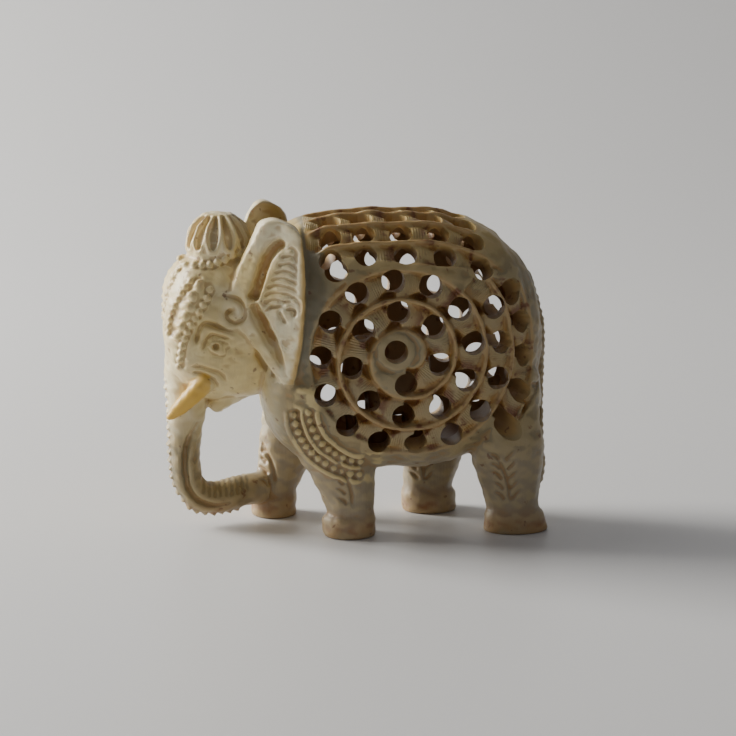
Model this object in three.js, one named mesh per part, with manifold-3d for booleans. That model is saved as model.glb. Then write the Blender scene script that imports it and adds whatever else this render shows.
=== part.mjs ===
// A standing elephant carved from one block of soapstone, its hollow body pierced by a
// lattice of drilled and gouged leaf cells, with a small elephant left standing inside.
// Millimetres; +Z up; the head looks towards -X; the feet stand on Z = 0.
import * as THREE from "three";
import { mergeVertices } from "three/addons/utils/BufferGeometryUtils.js";
import Module from "manifold-3d";

const wasm = await Module();
wasm.setup();

// ---- Driving dimensions ----
// The barrel is a rounded block, longer and squarer towards the neck than over the rump.
const BODY = {
  centre: new THREE.Vector3(12.8, 0, 50.5),
  half: new THREE.Vector3(36, 24, 33.3),
  section: 2.4, // squareness across, over the back
  belly: 3.4, // squareness across, below the middle
  profile: 2.25, // squareness along
  front: 38, // half length towards the neck
  frontProfile: 4,
};
const WALL = 5.4; // thickness of the pierced shell
const HOLLOW = {
  centre: new THREE.Vector3(14, 0, BODY.centre.z),
  half: new THREE.Vector3(29, BODY.half.y - WALL, BODY.half.z - WALL),
  section: BODY.section,
  belly: BODY.belly,
  profile: BODY.profile,
  front: 28.5,
  frontProfile: BODY.frontProfile,
};
const DRILL = {
  corner: 3.3, // a hexagon as large as a 6 mm round hole
  depth: 12, // below the surface, enough where the wall thickens towards neck, belly and rump
  straight: 0.9, // where the surface faces a side this squarely, the hole runs straight in
};
// The cells of the flank follow one spiral row, and those of the back straight rows.
const SPIRAL = {
  x: 10.4,
  z: 49.2,
  start: 5.3, // reach of the row at its beginning
  pitch: 8.4, // distance between turns
  squash: 0.04, // how much less it reaches upwards
  step: 9.65, // distance between holes along the row
};
const FIELD = {
  front: -12.8,
  neck: -10.9, // how near the neck a hole may be drilled
  floor: 24.8,
  chest: 1.1,
  top: 70.2,
  fall: 0.115,
  bend: 34,
  rear: 44,
};
const BACK = { rows: 4, spacing: 7.15, step: 8.6, spread: 0.6, columns: 5, x: 0.5 };
const FOOT_Y = 12; // from the centre plane to the middle of each foot
const FACE_Y = 13.5; // from the centre plane to the eyes

// ---- Shaping helpers ----
const vec = (x, y, z) => new THREE.Vector3(x, y, z);
const power = (value, exponent) => Math.sign(value) * Math.abs(value) ** exponent;

// Closes a three.js geometry into a solid by merging the vertices its faces share.
function solid(geometry) {
  geometry.deleteAttribute("normal");
  geometry.deleteAttribute("uv");
  const merged = mergeVertices(geometry, 1e-4);
  const mesh = new wasm.Mesh({
    numProp: 3,
    vertProperties: merged.attributes.position.array,
    triVerts: new Uint32Array(merged.index.array),
  });
  return new wasm.Manifold(mesh);
}

const joined = (solids) => solids.reduce((whole, next) => whole.add(next));

// Moves every vertex of a geometry by a rule.
function shaped(geometry, rule) {
  const position = geometry.getAttribute("position");
  const p = new THREE.Vector3();
  for (let i = 0; i < position.count; i++) {
    p.fromBufferAttribute(position, i);
    rule(p);
    position.setXYZ(i, p.x, p.y, p.z);
  }
  return geometry;
}

// A ball squared off into a rounded block, with its poles on the X axis.
function roundedBlock(block, around, along) {
  const ball = new THREE.SphereGeometry(1, around, along).rotateZ(Math.PI / 2);
  return shaped(ball, (p) => {
    const ahead = p.x < 0 && block.front;
    const profile = ahead ? block.frontProfile : block.profile;
    const girth = power(Math.min(1, Math.hypot(p.y, p.z)), 2 / profile);
    const turn = Math.atan2(p.z, p.y);
    const section = turn < 0 ? (block.belly ?? block.section) : block.section;
    p.set(
      power(p.x, 2 / profile) * (ahead ? block.front : block.half.x),
      girth * block.half.y * power(Math.cos(turn), 2 / section),
      girth * block.half.z * power(Math.sin(turn), 2 / section),
    ).add(block.centre);
  });
}

// A column of oval sections from the bottom up: [z, x, y, half width in x, half width in y].
function column(sections, sides) {
  const rows = sections.length - 1;
  const tube = new THREE.CylinderGeometry(1, 1, rows, sides, rows).rotateX(Math.PI / 2);
  return shaped(tube, (p) => {
    const [z, x, y, wide, deep] = sections[Math.round(p.z + rows / 2)];
    p.set(x + wide * p.x, y + deep * p.y, z);
  });
}

// A tapering limb along a smooth curve: stations are [x, y, z, half thickness, half width].
// The thickness lies in the plane of the curve's bend and the width across it.
function limb(stations, sides, rows) {
  const path = new THREE.CatmullRomCurve3(stations.map(([x, y, z]) => vec(x, y, z)));
  const sizes = new THREE.CatmullRomCurve3(stations.map((s) => vec(s[3], s[4], 0)));
  const tube = new THREE.CylinderGeometry(1, 1, rows, sides, rows).rotateX(Math.PI / 2);
  const across = vec(0, 1, 0);
  return shaped(tube, (p) => {
    const t = (p.z + rows / 2) / rows;
    const tangent = path.getTangent(t);
    const width = across.clone().addScaledVector(tangent, -tangent.y).normalize();
    const thickness = new THREE.Vector3().crossVectors(width, tangent);
    const size = sizes.getPoint(t);
    const at = path.getPoint(t);
    at.addScaledVector(thickness, p.x * size.x).addScaledVector(width, p.y * size.y);
    p.copy(at);
  });
}

// Stands a cutter on a surface: its X runs along the cut and its Z points outwards.
function placed(geometry, { at, out, along }) {
  const side = new THREE.Vector3().crossVectors(out, along).normalize();
  const ahead = new THREE.Vector3().crossVectors(side, out).normalize();
  const frame = new THREE.Matrix4().makeBasis(ahead, side, out.clone().normalize());
  return solid(geometry).transform(frame.setPosition(at).elements);
}

// The mark of a gouge: widest and deepest at its start, running out to a point.
function gouge(start, end, out, width, depth) {
  const run = new THREE.Vector3().subVectors(end, start);
  const cone = new THREE.ConeGeometry(1, run.length(), 3).rotateZ(-Math.PI / 2);
  cone.rotateX(Math.PI).scale(1, width / 1.16, depth).translate(run.length() / 2, 0, 0);
  return placed(cone, { at: start, out, along: run });
}

// ---- The barrel's surface ----
const bodyLength = (x) => (x < BODY.centre.x ? BODY.front : BODY.half.x);
const bodyProfile = (x) => (x < BODY.centre.x ? BODY.frontProfile : BODY.profile);
const bodySection = (z) => (z < BODY.centre.z ? BODY.belly : BODY.section);

// The share of the full section that the barrel has left at a place along it.
function bodyGirth(x) {
  const reach = Math.min(1, Math.abs((x - BODY.centre.x) / bodyLength(x)));
  return (1 - reach ** bodyProfile(x)) ** (1 / bodyProfile(x));
}

// Half width of the barrel at a place seen from the side.
function bodySide(x, z) {
  const rise = Math.abs((z - BODY.centre.z) / BODY.half.z);
  const section = bodySection(z);
  const left = bodyGirth(x) ** section - rise ** section;
  return left > 0 ? BODY.half.y * left ** (1 / section) : 0;
}

function bodyOut(p) {
  const half = BODY.half.clone().setX(bodyLength(p.x));
  const profile = bodyProfile(p.x);
  const section = bodySection(p.z);
  const q = p.clone().sub(BODY.centre).divide(half);
  const across = Math.abs(q.y) ** section + Math.abs(q.z) ** section;
  const share = across ** (profile / section - 1);
  return vec(
    power(q.x, profile - 1),
    share * power(q.y, section - 1),
    share * power(q.z, section - 1),
  )
    .divide(half)
    .normalize();
}

// A place on the side of the barrel, reached by walking over it from the spiral's centre.
function sidePoint(angle, reach) {
  const stride = 0.4;
  let gone = 0;
  let run = 0;
  let y = bodySide(SPIRAL.x, SPIRAL.z);
  let x = SPIRAL.x;
  let z = SPIRAL.z;
  while (gone < reach && y > 0) {
    run += stride;
    x = SPIRAL.x + run * Math.cos(angle);
    z = SPIRAL.z + run * Math.sin(angle);
    const next = bodySide(x, z);
    gone += Math.hypot(stride, next - y);
    y = next;
  }
  return vec(x, -y, z);
}

// A place on the barrel's back, reached by walking down from the ridge line.
function backPoint(x, reach) {
  const girth = bodyGirth(x);
  const stride = 0.01;
  let gone = 0;
  let turn = Math.PI / 2;
  const at = () =>
    vec(
      x,
      -BODY.half.y * girth * power(Math.cos(turn), 2 / BODY.section),
      BODY.centre.z + BODY.half.z * girth * power(Math.sin(turn), 2 / BODY.section),
    );
  let p = at();
  while (gone < reach) {
    turn -= stride;
    const next = at();
    gone += next.distanceTo(p);
    p = next;
  }
  return p;
}

// ---- The lattice ----
// A plain band parts the flank's field of cells from the rows over the back, and the
// harness cuts its lower front corner.
const bandHeight = (x) => FIELD.top - FIELD.fall * x - 0.03 * Math.max(0, x - FIELD.bend) ** 2;

const floorHeight = (x) => FIELD.floor + FIELD.chest * Math.max(0, -x);
const inField = (p) =>
  p.x > FIELD.front && p.x < FIELD.rear && p.z > floorHeight(p.x) && p.z < bandHeight(p.x);

const flankAt = (x, z) => vec(x, -bodySide(x, z), z);

function flankCells() {
  const cells = [];
  const rise = (turn) => Math.max(0, -Math.sin(2 * Math.PI * turn));
  const reachAt = (turn) => (SPIRAL.start + SPIRAL.pitch * turn) * (1 - SPIRAL.squash * rise(turn));
  const pointAt = (turn) => sidePoint(Math.PI * (1 + 2 * turn), reachAt(turn));
  for (let turn = 0.25; turn < 4.5; turn += SPIRAL.step / (2 * Math.PI * reachAt(turn))) {
    const at = pointAt(turn);
    if (!inField(at)) continue;
    if (at.x < FIELD.neck) at.copy(flankAt(FIELD.neck, at.z));
    cells.push({ at, out: bodyOut(at), along: pointAt(turn + 0.02).sub(at) });
  }
  const first = flankAt(SPIRAL.x - 2.6, SPIRAL.z + 1.3);
  cells.push({ at: first, out: bodyOut(first), along: vec(-0.4, 0, -1) });
  return cells;
}

function backCells() {
  const cells = [];
  for (let row = 0; row < BACK.rows; row++) {
    const columns = BACK.columns + (row === BACK.rows - 1 ? 1 : 0);
    for (let i = 0; i < columns; i++) {
      const run = BACK.x - BODY.centre.x + (i - 1) * (BACK.step + BACK.spread * row);
      const x = BODY.centre.x + BODY.half.x * Math.sin(run / BODY.half.x);
      const at = backPoint(x, BACK.spacing * row);
      cells.push({ at, out: bodyOut(at), along: vec(-1, 0, 0), ridge: row === 0 });
    }
  }
  return cells;
}

// Holes run straight in from the side or the top, and square to the surface where it turns.
function drillAxis(out) {
  if (Math.abs(out.y) > DRILL.straight) return vec(0, Math.sign(out.y), 0);
  if (out.z > DRILL.straight) return vec(0, 0, 1);
  return out;
}

// Each cell is a drilled hole with a gouged leaf running from it towards the next.
function cellCutters({ at, out, along }) {
  const drill = new THREE.CylinderGeometry(DRILL.corner, DRILL.corner, 2 * DRILL.depth, 6);
  const side = new THREE.Vector3().crossVectors(out, along).normalize();
  const ahead = new THREE.Vector3().crossVectors(side, out);
  const start = at.clone().addScaledVector(ahead, 1.4);
  const end = at.clone().addScaledVector(ahead, 8.2).addScaledVector(out, -0.3);
  return [
    placed(drill.rotateX(Math.PI / 2), { at, out: drillAxis(out), along }),
    gouge(start, end, out, 5.2, 1.5),
  ];
}

const flip = (v) => vec(v.x, -v.y, v.z);
const nearCells = [...flankCells(), ...backCells()];
const farCells = nearCells
  .filter((cell) => !cell.ridge)
  .map(({ at, out, along }) => ({ at: flip(at), out: flip(out), along: flip(along) }));
const cells = [...nearCells, ...farCells];

// ---- Body ----
const barrel = solid(roundedBlock(BODY, 16, 12));
const hollow = solid(roundedBlock(HOLLOW, 12, 8));
const RUMP = { centre: vec(37.4, 0, 33), half: vec(11.2, 17, 15.4), section: 3, profile: 3 };
const rump = solid(roundedBlock(RUMP, 10, 6));

// Each leg is a column of ovals: [height, x, half length, half width], foot first.
const LEGS = {
  left_front: [
    [0, -2.7, 6.6, 5.9],
    [4.6, -2.9, 7, 6.2],
    [6.6, -2.2, 6.2, 5.6],
    [24, -7, 10.6, 6.8],
    [36, -10, 12.6, 7.2],
    [48, -11, 11, 6],
  ],
  left_rear: [
    [0, 41, 8.6, 5.9],
    [4.6, 40.6, 8.3, 6.2],
    [6.8, 40.2, 6.8, 5.6],
    [24, 38, 10.2, 7],
    [38, 38, 8, 6],
  ],
  right_front: [
    [0, -20.4, 5.9, 5.9],
    [4.6, -20.4, 6.3, 6.2],
    [6.8, -20.2, 5.6, 5.6],
    [24, -15, 8.4, 6.8],
    [36, -12, 11, 7],
  ],
  right_rear: [
    [0, 21.6, 7.2, 5.9],
    [4.6, 21.6, 7.4, 6.2],
    [6.8, 21.2, 6.4, 5.6],
    [26, 24, 10, 6.8],
    [36, 28, 12, 7],
  ],
};

function leg([name, sections]) {
  const y = name.startsWith("left") ? -FOOT_Y : FOOT_Y;
  return solid(column(sections.map(([z, x, wide, deep]) => [z, x, y, wide, deep]), 8));
}

// The tail lies on the rump and ends in a tuft on the left rear leg.
const tail = solid(
  limb(
    [
      [44.6, 0, 66, 1.6, 2.4],
      [48, 0, 56, 1.6, 2.3],
      [48.9, 0, 46, 1.3, 2.2],
      [48.7, 0, 35, 1.3, 2.2],
      [48.2, -2, 24, 1.6, 2.4],
      [47.6, -6, 15.5, 2, 3.4],
      [46.4, -9, 9.6, 1.4, 1.6],
    ],
    5,
    8,
  ),
);

// The harness runs down each shoulder as two curved cords. The right one ends sooner, as
// the right leg steps forward.
const HARNESS = { x: 1.8, z: 37, radii: [16, 19.8], from: 1.06, to: { left: 1.44, right: 1.27 } };
const shoulderSide = (x, z) => Math.max(bodySide(x, z), FOOT_Y + 5.8);

function harness(hand) {
  const last = hand < 0 ? HARNESS.to.left : HARNESS.to.right;
  return HARNESS.radii.map((radius) => {
    const stations = Array.from({ length: 4 }, (_, i) => {
      const angle = Math.PI * THREE.MathUtils.lerp(HARNESS.from, last, i / 3);
      const x = HARNESS.x + radius * Math.cos(angle);
      const z = HARNESS.z + radius * Math.sin(angle);
      return [x, hand * shoulderSide(x, z), z, 1, 0.9];
    });
    return solid(limb(stations, 3, 3));
  });
}

// Slanting leaf cuts up the outer face of a leg.
function legCuts([name, sections]) {
  const hand = name.startsWith("left") ? -1 : 1;
  const [, x, half] = sections[2];
  const face = hand * (FOOT_Y + 5.9);
  return [-1, 1].map((lean) => {
    const start = vec(x + 0.8 * lean, face, 9.5);
    const end = vec(x + 0.7 * half * lean, face - 0.8 * hand, 15);
    return gouge(start, end, vec(0, hand, 0), 2, 1.3);
  });
}

// ---- Head ----
const SKULL = { centre: vec(-33, 0, 55), half: vec(16.9, 14.5, 20), section: 2.3, profile: 2.8 };
const skull = solid(roundedBlock(SKULL, 14, 8));
const CROWN = { centre: vec(-35.2, 0, 74.4), half: vec(8.7, 9.6, 9.3), section: 2, profile: 2 };
const crown = solid(roundedBlock(CROWN, 10, 6));
const chin = solid(
  limb(
    [
      [-28, 0, 41, 5, 8],
      [-32, 0, 37.4, 4, 6],
      [-37.6, 0, 32.4, 2.2, 4],
    ],
    6,
    2,
  ),
);

// The trunk hangs down, and its tip curls back to meet the right front foot.
const trunk = solid(
  limb(
    [
      [-41, 0, 52, 8, 9],
      [-43.4, 0, 42, 6.2, 7],
      [-44.2, 0, 34, 5.2, 5.6],
      [-44.7, 0, 26, 4.3, 4.8],
      [-44.8, 0, 18, 3.9, 4.5],
      [-43.8, 0.6, 10.6, 4.1, 4.5],
      [-39.5, 1.6, 7.6, 4.4, 4.6],
      [-33.5, 3.6, 7.8, 4.4, 4.6],
      [-24, 9, 8.4, 4.3, 4.6],
    ],
    8,
    15,
  ),
);

const tusk = (hand) =>
  solid(
    limb(
      [
        [-38, 10 * hand, 42.4, 2.3, 2.2],
        [-42, 9.4 * hand, 38.8, 2.6, 2.3],
        [-46, 8 * hand, 34.4, 2, 1.9],
        [-49.2, 6.8 * hand, 31.2, 0.9, 0.9],
      ],
      6,
      4,
    ),
  );

// The front of the skull at a place seen from ahead.
function skullFront(y, z) {
  const across =
    Math.abs(y / SKULL.half.y) ** SKULL.section +
    Math.abs((z - SKULL.centre.z) / SKULL.half.z) ** SKULL.section;
  const left = Math.max(0, 1 - across ** (SKULL.profile / SKULL.section));
  return SKULL.centre.x - SKULL.half.x * left ** (1 / SKULL.profile);
}

// A strap runs down each side of the forehead and closes in over the trunk.
function strap(hand) {
  const stations = Array.from({ length: 5 }, (_, i) => {
    const z = 69 - 6 * i;
    const y = hand * (11.5 - 2.1 * i);
    return [skullFront(y, z), y, z, 0.9, 0.9];
  });
  return solid(limb(stations, 3, 3));
}

// The crown's flutes, wide at its foot and running out towards its top.
function flutes() {
  const count = 8;
  return Array.from({ length: count }, (_, i) => {
    const turn = ((i + 0.5) * 2 * Math.PI) / count;
    const out = vec(Math.cos(turn), Math.sin(turn), 0);
    const start = CROWN.centre.clone().addScaledVector(out, CROWN.half.x * 1.04).setZ(73);
    const end = CROWN.centre.clone().addScaledVector(out, CROWN.half.x * 0.5).setZ(82.8);
    return gouge(start, end, out.clone().setZ(0.6), 3.6, 1.5);
  });
}

// An ear is an upright leaf, rising out of the cheek and standing off the neck at its back edge.
const EAR = { thickness: 5, front: -28, flare: 0.5, y: 11.2 };
const EAR_OUTLINE = [
  [-27.6, 78.6],
  [-25.6, 82.5],
  [-22.4, 83.9],
  [-18.6, 82.7],
  [-15.8, 79],
  [-15, 71],
  [-15.1, 62],
  [-16.2, 52],
  [-18.4, 41],
  [-22.6, 44.6],
  [-27.4, 51],
  [-31.4, 57.5],
  [-33, 64],
  [-31.6, 70.6],
  [-29.4, 75.4],
];
const earSide = (x) => EAR.y + EAR.thickness + EAR.flare * (x - EAR.front);

function ear(hand) {
  const curve = new THREE.SplineCurve(
    [...EAR_OUTLINE, EAR_OUTLINE[0]].map(([x, z]) => new THREE.Vector2(x, z)),
  );
  const leaf = new THREE.ExtrudeGeometry(new THREE.Shape(curve.getPoints(16).slice(1)), {
    depth: EAR.thickness,
    bevelEnabled: false,
  });
  shaped(leaf, (p) => p.set(p.x, -(EAR.y + p.z + EAR.flare * (p.x - EAR.front)), p.y));
  const form = solid(leaf);
  return hand < 0 ? form : form.mirror([0, 1, 0]);
}

// Ribs fan across the ear from its front edge, over a fold cut down its front.
function earCuts(hand) {
  const out = vec(-EAR.flare, hand, 0);
  const onEar = (x, z) => vec(x, hand * earSide(x), z);
  const ribs = Array.from({ length: 6 }, (_, i) => {
    const z = 77 - 3.6 * i;
    return gouge(onEar(-24.6 - 0.12 * i, z - 1.6), onEar(-16.4, z), out, 1.6, 0.9);
  });
  const fold = gouge(onEar(-28.2, 62.6), onEar(-20.2, 78.4), out, 3.2, 2);
  return [...ribs, fold];
}

function eyeCuts(hand) {
  const at = vec(-37.2, hand * FACE_Y, 51.2);
  const out = vec(-0.25, hand, 0);
  const pupil = new THREE.CylinderGeometry(0.95, 0.95, 4, 6).rotateX(Math.PI / 2);
  const brow = [vec(-42, hand * 12.2, 51), vec(-39.8, hand * 13.4, 56.4), vec(-32.4, hand * 14.4, 54)];
  return [
    placed(pupil, { at, out, along: vec(1, 0, 0) }),
    gouge(brow[1], brow[0], out, 1.2, 0.9),
    gouge(brow[1], brow[2], out, 1.2, 0.9),
  ];
}

// ---- The small elephant inside ----
const INNER = { x: 10.5, floor: HOLLOW.centre.z - HOLLOW.half.z };
function innerElephant() {
  const round = { section: 2.2, profile: 2.2 };
  const body = roundedBlock({ centre: vec(INNER.x, 0, 41), half: vec(9.5, 7, 12), ...round }, 8, 5);
  const head = roundedBlock({ centre: vec(INNER.x - 9, 0, 44), half: vec(4.2, 4.8, 6.6), ...round }, 8, 4);
  const nose = column(
    [
      [INNER.floor - 1, INNER.x - 11.4, 0, 1.6, 1.8],
      [44, INNER.x - 10.6, 0, 2.2, 2.6],
    ],
    5,
  );
  const feet = [-3.6, 3.6].flatMap((y) =>
    [-4.6, 5.2].map((x) =>
      column(
        [
          [INNER.floor - 1.5, INNER.x + x, y, 2.7, 2.6],
          [38, INNER.x + x, y, 3, 2.9],
        ],
        5,
      ),
    ),
  );
  return joined([body, head, nose, ...feet].map(solid));
}

// ---- The whole sculpture ----
const HANDS = [-1, 1];
const limbs = Object.entries(LEGS);
const block = joined([
  barrel,
  rump,
  skull,
  crown,
  chin,
  trunk,
  tail,
  ...limbs.map(leg),
  ...HANDS.map(tusk),
  ...HANDS.map(ear),
  ...HANDS.flatMap(harness),
  ...HANDS.map(strap),
]);
const carving = joined([
  ...cells.flatMap(cellCutters),
  ...limbs.flatMap(legCuts),
  ...flutes(),
  ...HANDS.flatMap(earCuts),
  ...HANDS.flatMap(eyeCuts),
]);
const elephant = block.subtract(hollow).subtract(carving).add(innerElephant());

function stoneMesh(form, name) {
  const { numProp, vertProperties, triVerts } = form.getMesh();
  const geometry = new THREE.BufferGeometry();
  geometry.setAttribute("position", new THREE.BufferAttribute(vertProperties, numProp));
  geometry.setIndex(new THREE.BufferAttribute(triVerts, 1));
  const stone = new THREE.MeshStandardMaterial({ color: 0xb0a27c, roughness: 0.45, metalness: 0 });
  const mesh = new THREE.Mesh(geometry, stone);
  mesh.name = name;
  return mesh;
}

const sculpture = new THREE.Group();
sculpture.add(stoneMesh(elephant, "elephant"));
export default sculpture;
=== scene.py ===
"""A standing elephant carved from one block of soapstone, pierced all over like a lattice."""

import math

import bpy
import numpy as np
from mathutils import Matrix, Vector
from mathutils.bvhtree import BVHTree


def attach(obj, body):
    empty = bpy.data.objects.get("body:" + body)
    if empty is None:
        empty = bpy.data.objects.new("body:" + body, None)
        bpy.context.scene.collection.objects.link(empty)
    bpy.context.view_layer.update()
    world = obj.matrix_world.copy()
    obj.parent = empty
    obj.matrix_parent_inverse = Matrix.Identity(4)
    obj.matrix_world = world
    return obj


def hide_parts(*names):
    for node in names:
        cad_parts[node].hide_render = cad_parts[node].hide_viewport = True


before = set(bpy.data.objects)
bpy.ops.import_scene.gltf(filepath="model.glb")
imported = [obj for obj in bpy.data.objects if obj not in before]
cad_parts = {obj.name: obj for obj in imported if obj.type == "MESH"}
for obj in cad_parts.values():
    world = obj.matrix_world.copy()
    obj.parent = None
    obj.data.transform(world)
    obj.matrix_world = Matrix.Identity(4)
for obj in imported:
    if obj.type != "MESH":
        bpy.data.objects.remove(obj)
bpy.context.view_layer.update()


# ---- The block, roughed out ----
# Soapstone, sawn and filed to the animal's large forms before any ornament is cut: a squared
# barrel and rump on four legs, and the skull with its knob, ears, trunk, tusks and tail.
# All its sizes are in millimetres until the end.
MM = 0.001
GRAIN = 0.36  # how fine the carver works the surface
BARREL = {
    "centre": (12.8, 0, 50.5),
    "half": (36, 24, 33.3),
    "section": 2.4,
    "belly": 3.4,
    "profile": 2.25,
    "front": 38,
    "front_profile": 4,
}
RUMP = {"centre": (37.4, 0, 33), "half": (11.2, 17, 15.4), "section": 3, "profile": 3}
SKULL = {"centre": (-33, 0, 55), "half": (16.9, 14.5, 20), "section": 2.3, "profile": 2.8}
CROWN = {"centre": (-35.2, 0, 74.4), "half": (8.7, 9.6, 9.3), "section": 2, "profile": 2}
FOOT_Y = 12
EAR_THICKNESS = 5.4


def power(value, exponent):
    return np.sign(value) * np.abs(value) ** exponent


def smooth(value):
    value = np.clip(value, 0, 1)
    return value * value * (3 - 2 * value)


def read_points(piece):
    flat = np.empty(len(piece.data.vertices) * 3)
    piece.data.vertices.foreach_get("co", flat)
    return flat.reshape(-1, 3) / MM


def write_points(piece, points):
    piece.data.vertices.foreach_set("co", (np.asarray(points) * MM).ravel())
    piece.data.update()


def ball(name, segments=64, rings=40):
    bpy.ops.object.select_all(action="DESELECT")
    bpy.ops.mesh.primitive_uv_sphere_add(segments=segments, ring_count=rings, radius=MM)
    bpy.context.object.name = name
    return bpy.context.object


def rounded_block(name, form, segments=64, rings=40):
    """A ball squared off into a rounded block, with its poles fore and aft."""
    piece = ball(name, segments, rings)
    across, up, along = read_points(piece).T
    half = form["half"]
    ahead = along < 0
    profile = np.where(ahead, form.get("front_profile", form["profile"]), form["profile"])
    reach = np.where(ahead, form.get("front", half[0]), half[0])
    section = np.where(up < 0, form.get("belly", form["section"]), form["section"])
    girth = np.minimum(1, np.hypot(across, up)) ** (2 / profile)
    turn = np.arctan2(up, across)
    x = reach * power(along, 2 / profile)
    y = half[1] * girth * power(np.cos(turn), 2 / section)
    z = half[2] * girth * power(np.sin(turn), 2 / section)
    write_points(piece, np.column_stack([x, y, z]) + form["centre"])
    return piece


def spline(stations, share):
    """Values on a smooth run through the stations, at shares of its length from 0 to 1."""
    table = np.asarray(stations, float)
    padded = np.vstack([2 * table[0] - table[1], table, 2 * table[-1] - table[-2]])
    place = np.clip(share, 0, 1) * (len(table) - 1)
    first = np.minimum(place.astype(int), len(table) - 2)
    t = (place - first)[:, None]
    a, b, c, d = (padded[first + i] for i in range(4))
    bend = a - 2.5 * b + 2 * c - d / 2
    return b + t * (c - a) / 2 + t**2 * bend + t**3 * ((d - a) / 2 + 1.5 * (b - c))


def limb(name, stations, segments=32, rings=60):
    """A ball drawn out along a curve: stations are x, y, z, half thickness, half width."""
    piece = ball(name, segments, rings)
    unit = read_points(piece)
    down = np.arccos(np.clip(unit[:, 2], -1, 1)) / math.pi
    cap = 2 / rings
    share = np.clip((down - cap) / (1 - 2 * cap), 0, 1)
    shut = smooth(np.minimum(down, 1 - down) / cap)
    ring = unit[:, :2] / np.maximum(1e-6, np.hypot(unit[:, 0], unit[:, 1]))[:, None]
    at = spline(stations, share)
    nudge = 0.002
    tangent = spline(stations, share + nudge)[:, :3] - spline(stations, share - nudge)[:, :3]
    tangent /= np.linalg.norm(tangent, axis=1)[:, None]
    width = np.array([0, 1, 0]) - tangent * tangent[:, 1:2]
    width /= np.linalg.norm(width, axis=1)[:, None]
    thick = np.cross(width, tangent)
    spread = thick * (ring[:, 0] * at[:, 3] * shut)[:, None]
    spread += width * (ring[:, 1] * at[:, 4] * shut)[:, None]
    write_points(piece, at[:, :3] + spread)
    bpy.ops.object.mode_set(mode="EDIT")
    bpy.ops.mesh.select_all(action="SELECT")
    bpy.ops.mesh.normals_make_consistent(inside=False)
    bpy.ops.object.mode_set(mode="OBJECT")
    return piece


def leg(name, side, sections):
    """A column of ovals drawn up ring by ring from the sole: height, x, half length, half width."""
    bpy.ops.object.select_all(action="DESELECT")
    height, x, wide, deep = sections[0]
    place = Vector((x, side * FOOT_Y, height)) * MM
    bpy.ops.mesh.primitive_circle_add(vertices=40, radius=MM, fill_type="NGON", location=place)
    piece = bpy.context.object
    piece.name = name
    bpy.ops.object.transform_apply(location=True)
    bpy.ops.object.mode_set(mode="EDIT")
    bpy.ops.transform.resize(value=(wide, deep, 1), center_override=place)
    for (z0, x0, wide0, deep0), (z1, x1, wide1, deep1) in zip(sections, sections[1:]):
        rise = Vector((x1 - x0, 0, z1 - z0)) * MM
        place = place + rise
        bpy.ops.mesh.extrude_region_move(TRANSFORM_OT_translate={"value": rise})
        bpy.ops.transform.resize(value=(wide1 / wide0, deep1 / deep0, 1), center_override=place)
    bpy.ops.mesh.select_all(action="SELECT")
    bpy.ops.mesh.normals_make_consistent(inside=False)
    bpy.ops.object.mode_set(mode="OBJECT")
    return piece


def ear_side(x):
    """How far out the ear's face stands, from its root in the cheek to its free rear edge."""
    return 22.7 + 0.5 * (x + 15)


def ear(name, side):
    """An upright leaf, filed flat and laid back along the neck."""
    outline = [
        (-27.6, 78.6), (-25.6, 82.6), (-22.4, 84.1), (-18.6, 82.9), (-15.8, 79.2), (-15, 71),
        (-15.1, 62), (-16.2, 52), (-18.4, 41), (-22.6, 44.6), (-27.4, 51), (-31.4, 57.5),
        (-33, 64), (-31.6, 70.6), (-29.4, 75.4), (-27.6, 78.6),
    ]
    bpy.ops.object.select_all(action="DESELECT")
    bpy.ops.mesh.primitive_circle_add(vertices=120, radius=MM, fill_type="NGON")
    piece = bpy.context.object
    piece.name = name
    bpy.ops.object.mode_set(mode="EDIT")
    bpy.ops.mesh.extrude_region_move()
    bpy.ops.mesh.select_all(action="SELECT")
    bpy.ops.mesh.normals_make_consistent(inside=False)
    bpy.ops.object.mode_set(mode="OBJECT")
    count = len(piece.data.vertices) // 2
    x, z = spline(outline, np.arange(count) / count).T
    face = np.column_stack([x, side * ear_side(x), z])
    back = np.column_stack([x, side * (ear_side(x) - EAR_THICKNESS), z])
    write_points(piece, np.vstack([back, face]))
    bpy.ops.object.mode_set(mode="EDIT")
    bpy.ops.mesh.select_all(action="SELECT")
    bpy.ops.mesh.normals_make_consistent(inside=False)
    bpy.ops.object.mode_set(mode="OBJECT")
    return piece


def tusk(name, side):
    stations = [
        (-37, 9.6 * side, 43.4, 2.6, 2.4),
        (-39.6, 9.8 * side, 41.4, 2.7, 2.5),
        (-43, 9.2 * side, 37.8, 2.45, 2.3),
        (-46.6, 7.8 * side, 33.9, 1.75, 1.7),
        (-49.4, 6.6 * side, 31, 0.6, 0.6),
    ]
    return limb(name, stations, 24, 30)


def join(pieces, name):
    bpy.ops.object.select_all(action="DESELECT")
    for piece in pieces:
        piece.select_set(True)
    bpy.context.view_layer.objects.active = pieces[0]
    bpy.ops.object.join()
    pieces[0].name = name
    return pieces[0]


def apply_modifier(piece, kind, **settings):
    bpy.ops.object.select_all(action="DESELECT")
    piece.select_set(True)
    bpy.context.view_layer.objects.active = piece
    modifier = piece.modifiers.new(kind.lower(), kind)
    for setting, value in settings.items():
        setattr(modifier, setting, value)
    bpy.ops.object.modifier_apply(modifier=modifier.name)


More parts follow.
